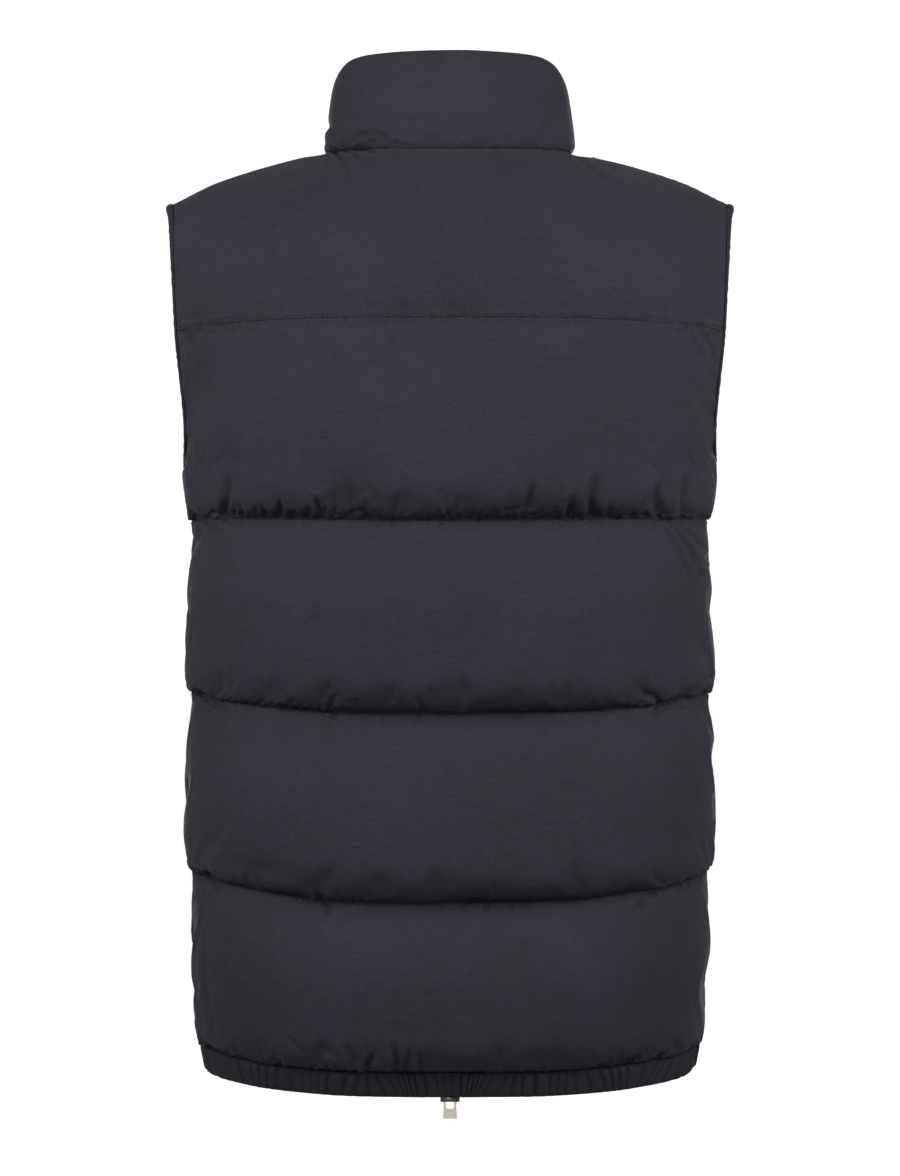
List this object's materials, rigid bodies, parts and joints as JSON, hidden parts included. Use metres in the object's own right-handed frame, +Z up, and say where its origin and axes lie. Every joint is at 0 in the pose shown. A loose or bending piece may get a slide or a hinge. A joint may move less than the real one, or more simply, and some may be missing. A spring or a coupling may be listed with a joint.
{
  "type": "quilted vest",
  "caption": "Padded vest with a stand collar, a two-way front zip, quilted channels and a gathered hem, zipped up and filled out as worn",
  "frame": {"origin": "the middle of the neck opening, at the height of the back collar seam, where the wearer's neck and shoulders hold the vest", "axes": "+Z up along the body, the wearer faces -Y, +X is the wearer's left"},
  "size_m": [0.443, 0.2829, 0.8453],
  "materials": {
    "shell_cloth": "matte, finely crinkled dark navy nylon weave with a faint sheen",
    "trim_cloth": "matte dark navy elasticated cloth, gathered",
    "zip_tape": "woven dark zip tape",
    "zip_teeth": "moulded dark zip teeth",
    "zip_metal": "gunmetal plating, worn paler at the edges"
  },
  "bodies": {
    "vest": {"back_yoke": "shell_cloth", "back_body": "shell_cloth", "front_left": "shell_cloth", "front_right": "shell_cloth", "collar": "shell_cloth", "hem_back": "trim_cloth", "hem_front_left": "trim_cloth", "hem_front_right": "trim_cloth", "armhole_binding_left": "trim_cloth", "armhole_binding_right": "trim_cloth", "zip_tape_left": "zip_tape", "zip_tape_right": "zip_tape", "zip_chain": "zip_teeth", "zip_slider_bottom": "zip_metal", "zip_slider_top": "zip_metal"},
    "pull_bottom": {"zip_pull_bottom": "zip_metal"},
    "pull_top": {"zip_pull_top": "zip_metal"}
  },
  "joints": [
    {"name": "pull_bottom_swing", "type": "hinge", "parent": "vest", "child": "pull_bottom", "pos_m": [0, -0.10935, -0.74362], "axis": [-1, 0, 0], "range_deg": [-8, 150]},
    {"name": "pull_top_swing", "type": "hinge", "parent": "vest", "child": "pull_top", "pos_m": [0, -0.08071, -0.0059], "axis": [-1, 0, 0], "range_deg": [0, 160]}
  ]
}
